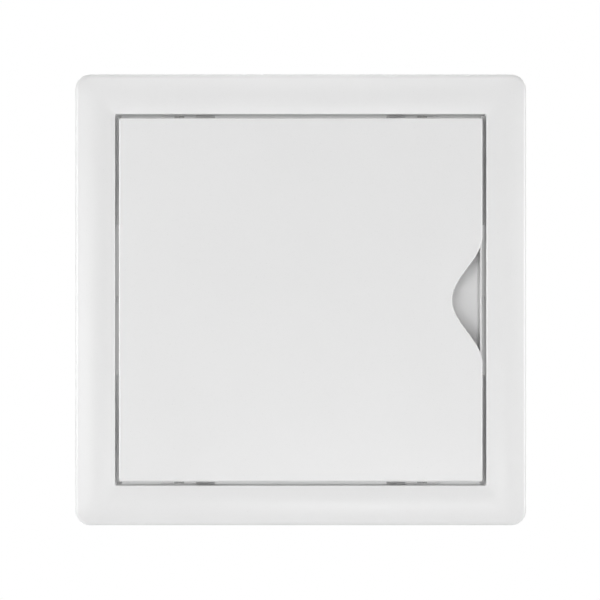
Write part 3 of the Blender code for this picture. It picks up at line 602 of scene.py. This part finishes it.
def cleaned(mesh):
    # Merges the doubles of a node tree's result and points its faces outwards
    bm = bmesh.new()
    bm.from_mesh(mesh)
    bpy.data.meshes.remove(mesh)
    return meshFromBmesh(bm, "cleaned")


def ringMesh():
    # The tree reads the rings from the points of a small source mesh
    source = bpy.data.meshes.new("section")
    rings = frameSection()
    source.from_pydata([tuple(value * mm for value in ring) for ring in rings], [], [])
    values = {"Corner steps": frameSizes["cornerSteps"], "Material": whiteAbs}
    return cleaned(meshFromTree("frame ring", ringTree(), source, values))


def flangeRibs():
    # A row of ribs behind each of the flange's four sides
    s = frameSizes
    top = s["frontY"] - s["crown"] + s["skin"] - s["overlap"]
    bottom = -s["ribDrop"]
    near = s["openingHalf"] + s["neckWall"] - s["overlap"]
    far = s["openingHalf"] + s["flange"] - s["lip"] + s["overlap"]
    return cleaned(meshFromTree("flange ribs", ribs, bpy.data.meshes.new("seed"), {
        "Pitch": s["ribPitch"] * mm, "Count": s["ribsInRow"], "Thickness": s["ribThick"] * mm,
        "Height": (bottom - top) * mm, "Length": (far - near) * mm, "Edge radius": s["ribEdge"] * mm,
        "Distance": (near + far) / 2 * mm, "Level": (top + bottom) / 2 * mm,
        "Rows": 4, "Material": whiteAbs,
    }))


def depthY(depth):
    # Y of a depth behind the face, in mm
    return frameSizes["frontY"] + depth


def frameStops():
    # Ledges at the sides, tabs above and below, and a catch on each side for the door's nub
    s = frameSizes
    bm = bmesh.new()
    y = (depthY(s["ledgeDepth"]), depthY(s["ledgeDepth"] + s["ledgeThick"]))
    wall = s["openingHalf"] + s["overlap"]
    for x in bothSides((s["openingHalf"] - s["ledgeWide"], wall)):
        for z in bothSides((s["ledgeWindow"] / 2, wall)):
            addBlock(bm, x, y, z)
    for x in bothSides((s["tabOffset"] - s["tabWide"] / 2, s["tabOffset"] + s["tabWide"] / 2)):
        for z in bothSides((s["openingHalf"] - s["tabLong"], wall)):
            addBlock(bm, x, y, z)
    for side in (-1, 1):
        centre = (side * s["openingHalf"], depthY(s["catchDepth"]), 0.0)
        addRod(bm, centre, s["catchProud"], s["catchLong"], "Z", s["catchChamfer"])
    return meshFromBmesh(bm, "stops")


def hingeBrackets():
    # Plates on the neck's side walls, which carry the ears
    bm = bmesh.new()
    zone = hinge["knuckle"] / 2 + hinge["gap"] + hinge["ear"]
    y = (depthY(hinge["bracketDepth"]), depthY(hinge["bracketDepth"] + hinge["bracketThick"]))
    reach = -hinge["x"] - hinge["legRight"]
    for x in bothSides((reach, frameSizes["openingHalf"] + frameSizes["overlap"])):
        for z in bothSides((hinge["offset"] - zone, hinge["offset"] + zone)):
            addBlock(bm, x, y, z)
    return meshFromBmesh(bm, "brackets")


def hingeArc(start, end, steps=16):
    # Points round the hinge's axis on the outside of an ear or a knuckle
    points = []
    for step in range(steps + 1):
        angle = start + (end - start) * step / steps
        x = hinge["x"] + hinge["radius"] * math.cos(angle)
        points.append((x, depthY(hinge["depth"]) + hinge["radius"] * math.sin(angle)))
    return points


def hingeEars():
    # Two ears for each knuckle, and the same on the right, because the frame fits either way round
    side = math.acos(-hinge["legLeft"] / hinge["radius"])
    foot = depthY(hinge["bracketDepth"]) + frameSizes["overlap"]
    right = hinge["x"] + hinge["legRight"]
    outline = hingeArc(side, 2 * math.pi)
    outline.append((right, depthY(hinge["depth"]) + hinge["radius"]))
    outline.append((right, foot))
    outline.append((hinge["x"] - hinge["legLeft"], foot))
    reach = (hinge["knuckle"] + hinge["ear"]) / 2 + hinge["gap"]
    levels = [level + way * reach for level in (-hinge["offset"], hinge["offset"]) for way in (-1, 1)]
    places = [Matrix.Translation((0.0, 0.0, z * mm)) for z in levels]
    mirror = Matrix.Diagonal((-1.0, 1.0, 1.0, 1.0))
    places += [mirror @ place for place in places]
    return extruded(outline, hinge["ear"], places)


def hingeRods(radius, length, xs):
    # Rods on the hinge's axis, to be cut as bores
    bm = bmesh.new()
    for x in xs:
        for z in (-hinge["offset"], hinge["offset"]):
            addRod(bm, (x, depthY(hinge["depth"]), z), radius, length, "Z")
    return meshFromBmesh(bm, "hinge rods")


def clipBosses():
    # Blocks on both sides of each clip, which hold its pin
    s = frameSizes
    bm = bmesh.new()
    slot = clip["wide"] / 2 + clip["side"]
    y = (clip["pivotY"] - clip["bossLong"], s["neckEnd"] - s["chamfer"])
    up = (s["openingHalf"] - clip["bossProud"], s["openingHalf"] + s["neckWall"] + clip["bossProud"])
    for middle in (-clip["offset"], clip["offset"]):
        for x in ((slot, slot + clip["boss"]), (-slot - clip["boss"], -slot)):
            for z in bothSides(up):
                addBlock(bm, (middle + x[0], middle + x[1]), y, z)
    return meshFromBmesh(bm, "bosses")


def clipCuts(half, low, high, reach):
    # Blocks to cut at each clip: half their length, their y range and their z range
    bm = bmesh.new()
    for middle in (-clip["offset"], clip["offset"]):
        for z in bothSides(reach):
            addBlock(bm, (middle - half, middle + half), (low, high), z, radius=0.0)
    return meshFromBmesh(bm, "clip cuts")


def clipWindows():
    # Oval holes in the neck through which the tongues go
    half = clip["wide"] / 2 + clip["side"]
    y = clip["pivotY"] - tongueReach()
    bm = bmesh.new()
    for middle in (-clip["offset"], clip["offset"]):
        low = (middle - half, y - clip["window"] / 2)
        high = (middle + half, y + clip["window"] / 2)
        outline = roundedOutline(low, high, clip["windowCorner"])
        for level in (-clip["pivotHalf"], clip["pivotHalf"]):
            addMesh(bm, extruded(outline, clip["windowCut"], [Matrix.Translation((0.0, 0.0, level * mm))]))
    return meshFromBmesh(bm, "windows")


def tongueReach():
    # How far a clip's tongue lies in front of its pivot
    eye = clip["pin"] + clip["bore"] + clip["thick"] / 2
    start = eye * math.cos(quarter + clip["flare"])
    nose = start + clip["leaf"] * math.cos(clip["flare"]) + clip["nose"] * math.sin(clip["flare"])
    return nose + clip["nose"]


def buildFrame():
    s = frameSizes
    builder = Builder("frame", ringMesh())
    builder.join(frameStops())
    builder.join(flangeRibs())
    builder.join(hingeBrackets())
    builder.join(hingeEars())
    zone = hinge["knuckle"] / 2 + hinge["gap"] + hinge["ear"]
    both = (hinge["x"], -hinge["x"])
    builder.cut(hingeRods(hinge["pin"] + hinge["press"], 2 * (zone + s["overlap"]), both))
    builder.join(clipBosses())
    slot = clip["wide"] / 2 + clip["side"]
    eye = clip["pin"] + clip["bore"] + clip["thick"] + clip["notchGap"]
    inner = s["openingHalf"] - clip["bossProud"] - s["overlap"]
    outer = s["openingHalf"] + s["neckWall"] + clip["bossProud"] + s["overlap"]
    end = s["neckEnd"] + s["overlap"]
    builder.cut(clipCuts(slot, clip["pivotY"] - eye, end, (inner, outer)))
    bore = slot + clip["boss"] - clip["bossEnd"]
    slit = (clip["pivotHalf"] - clip["slit"] / 2, clip["pivotHalf"] + clip["slit"] / 2)
    builder.cut(clipCuts(bore, clip["pivotY"], end, slit))
    bm = bmesh.new()
    for across in (-1, 1):
        for up in (-1, 1):
            centre = (across * clip["offset"], clip["pivotY"], up * clip["pivotHalf"])
            addRod(bm, centre, clip["pin"] + clip["press"], 2 * bore, "X")
    builder.cut(meshFromBmesh(bm, "clip bores"))
    builder.cut(clipWindows())
    finishPiece("frame_shell", builder.mesh(), whiteAbs, "frame_body", "frame")


buildFrame()
print("frame built")

# Door: plate with a skirt, the bell-shaped notch, its pocket, ribs, knuckles and the snap nub
door = {
    "half": 72.5, "thick": 2.0, "corner": 0.8, "cornerSteps": 12, "edge": 0.7, "edgeSteps": 8,
    "skirtHalf": 72.3, "skirtWall": 1.6, "skirtStart": 1.4, "skirtEnd": 7.9, "skirtEdge": 0.2,
    "trim": 1.5,  # the skirt is lower by this beside the hinge, so that it clears the ledges as it turns
    "earRoom": 0.6,
    "notchDepth": 12.1, "notchLong": 50.8, "notchSteps": 96,
    "pocketDepth": 9.0, "pocketFloor": 1.6, "pocketWall": 1.6, "pocketSide": 55.2, "pocketHalf": 27.2,
    "pocketCorner": 3.0, "pocketRound": 0.8, "pocketEdge": 0.8, "rimX": 71.6, "cupX": 72.2,
    "ribThick": 1.2, "ribHeight": 3.0, "ribOffset": 22.0, "ribEdge": 0.3,
    "nub": 1.0, "nubLong": 3.0, "nubChamfer": 0.3, "overlap": 0.5,
}


def notchInset(z):
    # One wave of a cosine gives the notch its bell shape
    return door["notchDepth"] * (1 + math.cos(2 * math.pi * z / door["notchLong"])) / 2


def doorOutline():
    half = door["half"]
    plain = roundedOutline((-half, -half), (half, half), door["corner"], door["cornerSteps"])
    start = door["cornerSteps"] + 1  # the notch follows the lower right corner
    notch = []
    for step in range(door["notchSteps"] + 1):
        z = door["notchLong"] * (step / door["notchSteps"] - 0.5)
        notch.append((half - notchInset(z), z))
    return plain[:start] + notch + plain[start:]


def pocketCavity(start, end, rounded=None):
    low = (door["pocketSide"], -door["pocketHalf"])
    high = (door["rimX"], door["pocketHalf"])
    return prism(roundedOutline(low, high, door["pocketCorner"]), depthY(start), depthY(end), rounded)


def buildSkirt():
    # A low wall round the back of the plate, open at the pocket and at the hinge's ears
    half = door["skirtHalf"]
    outer = roundedOutline((-half, -half), (half, half), door["corner"])
    start, end = door["skirtStart"], door["skirtEnd"]
    builder = Builder("skirt", prism(outer, depthY(start), depthY(end), ("high", door["skirtEdge"], 2)))
    half -= door["skirtWall"]
    hollow = roundedOutline((-half, -half), (half, half), door["corner"])
    past = (start - door["overlap"], end + door["overlap"])
    builder.cut(prism(hollow, depthY(past[0]), depthY(past[1])))
    builder.cut(pocketCavity(*past))
    edge = (-door["half"] - door["overlap"], -half + door["overlap"])
    reach = hinge["knuckle"] / 2 + hinge["gap"] + hinge["ear"] + door["earRoom"]
    deep = (depthY(door["thick"] - door["overlap"] / 2), depthY(past[1]))
    bm = bmesh.new()
    for z in bothSides((hinge["offset"] - reach, hinge["offset"] + reach)):
        addBlock(bm, edge, deep, z, radius=0.0)
    builder.cut(meshFromBmesh(bm, "hinge notches"))
    bm = bmesh.new()
    wide = door["half"] + door["overlap"]
    corner = (edge[0], -half + door["corner"] + door["overlap"])
    addBlock(bm, corner, (depthY(end - door["trim"]), depthY(past[1])), (-wide, wide), radius=0.0)
    builder.cut(meshFromBmesh(bm, "trim"))
    return builder.mesh()


def buildPocket():
    # The cup behind the notch, with the snap nub on its outer wall
    wall = door["pocketWall"]
    low = (door["pocketSide"] - wall, -door["pocketHalf"] - wall)
    high = (door["cupX"], door["pocketHalf"] + wall)
    start = door["thick"] - door["overlap"]
    outline = roundedOutline(low, high, door["pocketCorner"] + wall)
    end = door["pocketDepth"] + door["pocketFloor"]
    rounded = ("high", door["pocketEdge"], 4)
    builder = Builder("pocket", prism(outline, depthY(start), depthY(end), rounded))
    bm = bmesh.new()
    centre = (door["cupX"], depthY(door["pocketDepth"]), 0.0)
    addRod(bm, centre, door["nub"], door["nubLong"], "Z", door["nubChamfer"])
    builder.join(meshFromBmesh(bm, "nub"))
    hollow = ("high", door["pocketRound"], 5)
    builder.cut(pocketCavity(start - door["overlap"], door["pocketDepth"], hollow))
    return builder.mesh()


def doorRibs():
    # Two ribs up and two across. Those across stop at the pocket
    low = depthY(door["thick"] - door["overlap"])
    high = depthY(door["thick"] + door["ribHeight"])
    end = door["skirtHalf"] - door["skirtWall"] + door["overlap"]
    stop = door["pocketSide"] - door["pocketWall"] / 2
    meshes = []
    for near, far, turn in ((-end, end, 0.0), (-stop, end, -quarter)):
        mesh = meshFromTree("door ribs", ribs, bpy.data.meshes.new("seed"), {
            "Pitch": 2 * door["ribOffset"] * mm, "Count": 2, "Thickness": door["ribThick"] * mm,
            "Height": (high - low) * mm, "Length": (far - near) * mm, "Edge radius": door["ribEdge"] * mm,
            "Distance": (near + far) / 2 * mm, "Level": (low + high) / 2 * mm,
            "Rows": 1, "Material": whiteAbs,
        })
        mesh.transform(Matrix.Rotation(turn, 4, "Y"))
        meshes.append(cleaned(mesh))
    return meshes


def knuckles():
    # Two lugs behind the plate that turn on the hinge pins
    root = depthY(door["thick"]) - door["overlap"]
    outline = hingeArc(math.pi, 0.0)
    outline += [(hinge["x"] + hinge["radius"], root), (hinge["x"] - hinge["radius"], root)]
    places = [Matrix.Translation((0.0, 0.0, z * mm)) for z in (-hinge["offset"], hinge["offset"])]
    return extruded(outline, hinge["knuckle"], places)


def buildDoor():
    rounded = ("low", door["edge"], door["edgeSteps"])
    builder = Builder("door", prism(doorOutline(), depthY(0.0), depthY(door["thick"]), rounded))
    builder.join(buildSkirt())
    builder.join(buildPocket())
    for mesh in doorRibs():
        builder.join(mesh)
    builder.join(knuckles())
    bore = hinge["knuckle"] + 2 * hinge["gap"]
    builder.cut(hingeRods(hinge["pin"] + hinge["bore"], bore, (hinge["x"],)))
    finishPiece("door_shell", builder.mesh(), whiteAbs, "door_body", "door")


buildDoor()
print("door built")


# Pins, and the clips' places as a name and the signs of X and Z
clipPlaces = [
    (f"{row}_{column}", across, up)
    for row, up in (("top", 1), ("bottom", -1))
    for column, across in (("left", -1), ("right", 1))
]


def buildPins():
    zone = hinge["knuckle"] / 2 + hinge["gap"] + hinge["ear"]
    for name, level in (("hinge_pin_upper", hinge["offset"]), ("hinge_pin_lower", -hinge["offset"])):
        bm = bmesh.new()
        centre = (hinge["x"], depthY(hinge["depth"]), level)
        addRod(bm, centre, hinge["pin"], 2 * (zone + hinge["proud"]), "Z", hinge["pinChamfer"])
        mesh = meshFromBmesh(bm, name)
        finishPiece(name + "_wire", mesh, hingeWire, "frame_body", name)
    half = clip["wide"] / 2 + clip["side"] + clip["boss"] - clip["bossEnd"] - clip["pinGap"]
    for place, across, up in clipPlaces:
        bm = bmesh.new()
        centre = (across * clip["offset"], clip["pivotY"], up * clip["pivotHalf"])
        addRod(bm, centre, clip["pin"], 2 * half, "X", clip["pinChamfer"])
        mesh = meshFromBmesh(bm, place)
        name = f"clip_pin_{place}"
        finishPiece(name + "_wire", mesh, clipWire, "frame_body", name)


buildPins()


# Spring clips: one strip each, rolled to an eye, with a narrow tongue hooked behind the neck wall
def clipArc(centre, radius, start, end, steps):
    # Points after the first on an arc from one angle to another
    angles = [start + (end - start) * step / steps for step in range(1, steps + 1)]
    return [centre + radius * Vector((math.cos(angle), math.sin(angle))) for angle in angles]


def clipPath():
    # Middle line as (forward, outward) from the pivot, and the number of points of full width
    turn = quarter + clip["flare"]
    eye = clip["pin"] + clip["bore"] + clip["thick"] / 2
    start = turn + clip["eyeTurn"]
    first = eye * Vector((math.cos(start), math.sin(start)))
    points = [first] + clipArc(Vector((0.0, 0.0)), eye, start, turn, clip["eyeSteps"])
    along = Vector((math.cos(clip["flare"]), math.sin(clip["flare"])))
    base = points[-1]
    for step in range(1, clip["leafSteps"] + 1):
        points.append(base + clip["leaf"] * along * step / clip["leafSteps"])
    nose = points[-1] + clip["nose"] * Vector((along.y, -along.x))
    points += clipArc(nose, clip["nose"], turn, 0.0, clip["noseSteps"])
    full = len(points)
    level = -frameSizes["neckWall"] / 2 - clip["hookGap"] - clip["thick"] / 2
    bend = Vector((points[-1].x - clip["hook"], level + clip["hook"]))
    points.append(bend + Vector((clip["hook"], 0.0)))
    points += clipArc(bend, clip["hook"], 0.0, -quarter, clip["hookSteps"])
    points.append(points[-1] - Vector((clip["hookLong"], 0.0)))
    return points, full


def buildClips():
    points, full = clipPath()
    columns = (-clip["wide"] / 2, -clip["tongue"] / 2, clip["tongue"] / 2, clip["wide"] / 2)
    for place, across, up in clipPlaces:
        bm = bmesh.new()
        rows = []
        for index, point in enumerate(points):
            wide = columns if index < full else columns[1:3]
            y = (clip["pivotY"] - point.x) * mm
            z = up * (clip["pivotHalf"] + point.y) * mm
            rows.append([bm.verts.new(((across * clip["offset"] + x) * mm, y, z)) for x in wide])
        for before, after in zip(rows, rows[1:]):
            if len(before) > len(after):
                before = before[1:3]
            for column in range(len(after) - 1):
                bm.faces.new((before[column], before[column + 1], after[column + 1], after[column]))
        bmesh.ops.recalc_face_normals(bm, faces=bm.faces)
        name = f"spring_clip_{place}"
        mesh = bpy.data.meshes.new(name)
        bm.to_mesh(mesh)
        bm.free()
        maker = bpy.data.objects.new(name, mesh)
        scene.collection.objects.link(maker)
        wall = maker.modifiers.new("thickness", "SOLIDIFY")
        wall.thickness = clip["thick"] * mm
        wall.offset = 0.0
        wall.use_even_offset = True
        rounding = maker.modifiers.new("edges", "BEVEL")
        rounding.width = clip["edge"] * mm
        rounding.segments = 2
        rounding.limit_method = "ANGLE"
        rounding.angle_limit = clip["edgeAngle"]
        graph = bpy.context.evaluated_depsgraph_get()
        result = bpy.data.meshes.new_from_object(maker.evaluated_get(graph), depsgraph=graph)
        bpy.data.objects.remove(maker, do_unlink=True)
        finishPiece(name + "_strip", result, springStrip, f"clip_{place}", name)


buildClips()
print("pins and clips built")


# Floor, world and lamps
floorSizes = {
    "radius": 1250.0, "top": -300.0, "sides": 96,
    "colour": "#F4F4F4", "colourDeep": "#F2F2F2", "roughness": 0.9, "grain": 6.0,
    "pale": 0.6,  # share of plain white where the camera sees the floor directly
}


def makeFloor():
    material, tree = newMaterial("pale matt floor")
    place = addNode(tree, "ShaderNodeTexCoord").outputs["Object"]
    cloud = addNode(tree, "ShaderNodeTexNoise", {
        "Vector": place, "Scale": 1 / (floorSizes["grain"] * mm), "Detail": 2.0,
    })
    tint = addNode(tree, "ShaderNodeMix", {
        "Factor": cloud.outputs["Fac"],
        6: linearColour(floorSizes["colourDeep"]), 7: linearColour(floorSizes["colour"]),
    }, data_type="RGBA")
    shader = addNode(tree, "ShaderNodeBsdfPrincipled", {
        "Base Color": tint.outputs[2], "Roughness": floorSizes["roughness"],
    })
    # Seen directly, part of the floor is plain white, so that it stays pale far from the lamps
    direct = addNode(tree, "ShaderNodeLightPath").outputs["Is Camera Ray"]
    share = addNode(tree, "ShaderNodeMath", {0: direct, 1: floorSizes["pale"]}, operation="MULTIPLY")
    white = addNode(tree, "ShaderNodeEmission", {"Strength": 1.0})
    mix = addNode(tree, "ShaderNodeMixShader", {
        0: share.outputs[0], 1: shader.outputs[0], 2: white.outputs[0],
    })
    addNode(tree, "ShaderNodeOutputMaterial", {"Surface": mix.outputs[0]})
    bm = bmesh.new()
    bmesh.ops.create_circle(
        bm, cap_ends=True, segments=floorSizes["sides"], radius=floorSizes["radius"] * mm,
    )
    mesh = bpy.data.meshes.new("floor")
    bm.to_mesh(mesh)
    bm.free()
    mesh.transform(Matrix.Translation((0.0, 0.0, floorSizes["top"] * mm)))
    mesh.materials.append(material)
    floor = bpy.data.objects.new("floor", mesh)
    scene.collection.objects.link(floor)


light = {
    "sky": 0.06,  # strength of the soft light that comes from all round
    "lamps": {
        # place in metres, size in metres and power in watts. Each lamp faces the panel
        "left": ((-1.16, -0.31, 0.0), 0.4, 5.8),
        "right": ((1.16, -0.31, 0.0), 0.4, 5.6),
        "top": ((0.0, -0.41, 1.13), 0.4, 0.8),
        "high": ((0.0, -0.06, 1.20), 0.3, 2.9),
        "front left": ((-0.62, -1.00, 0.0), 0.4, 1.3),
        "front right": ((0.62, -1.00, 0.0), 0.4, 1.1),
        "front top": ((0.0, -1.00, 0.60), 0.4, 1.6),
        "low left": ((-0.62, -1.55, -0.16), 0.5, 2.4),
        "low middle": ((0.06, -0.95, -0.26), 0.2, 1.05),
        "back": ((0.0, 1.00, 1.05), 0.7, 11.5),
    },
}


def makeWorld():
    # Plain white where it is seen, mirrored or looked at through a gap, and a faint soft light elsewhere
    world = bpy.data.worlds.new("studio")
    world.use_nodes = True
    tree = world.node_tree
    tree.nodes.clear()
    path = addNode(tree, "ShaderNodeLightPath").outputs
    seen = path["Is Camera Ray"]
    for other in ("Is Glossy Ray", "Is Transmission Ray"):
        seen = addNode(tree, "ShaderNodeMath", {0: seen, 1: path[other]}, operation="MAXIMUM").outputs[0]
    white = (1.0, 1.0, 1.0, 1.0)
    soft = addNode(tree, "ShaderNodeBackground", {"Color": white, "Strength": light["sky"]})
    plain = addNode(tree, "ShaderNodeBackground", {"Color": white, "Strength": 1.0})
    mix = addNode(tree, "ShaderNodeMixShader", {0: seen, 1: soft.outputs[0], 2: plain.outputs[0]})
    addNode(tree, "ShaderNodeOutputWorld", {"Surface": mix.outputs[0]})
    scene.world = world


def makeLamps():
    for name, (place, size, power) in light["lamps"].items():
        data = bpy.data.lights.new(name, "AREA")
        data.shape = "SQUARE"
        data.size = size
        data.energy = power
        item = bpy.data.objects.new(name, data)
        item.location = place
        item.rotation_euler = (-Vector(place)).to_track_quat("-Z", "Y").to_euler()
        item.visible_glossy = name != "back"  # so strong that it would burn out where the clips mirror it
        scene.collection.objects.link(item)


makeFloor()
makeWorld()
makeLamps()
print("stage and lights ready")
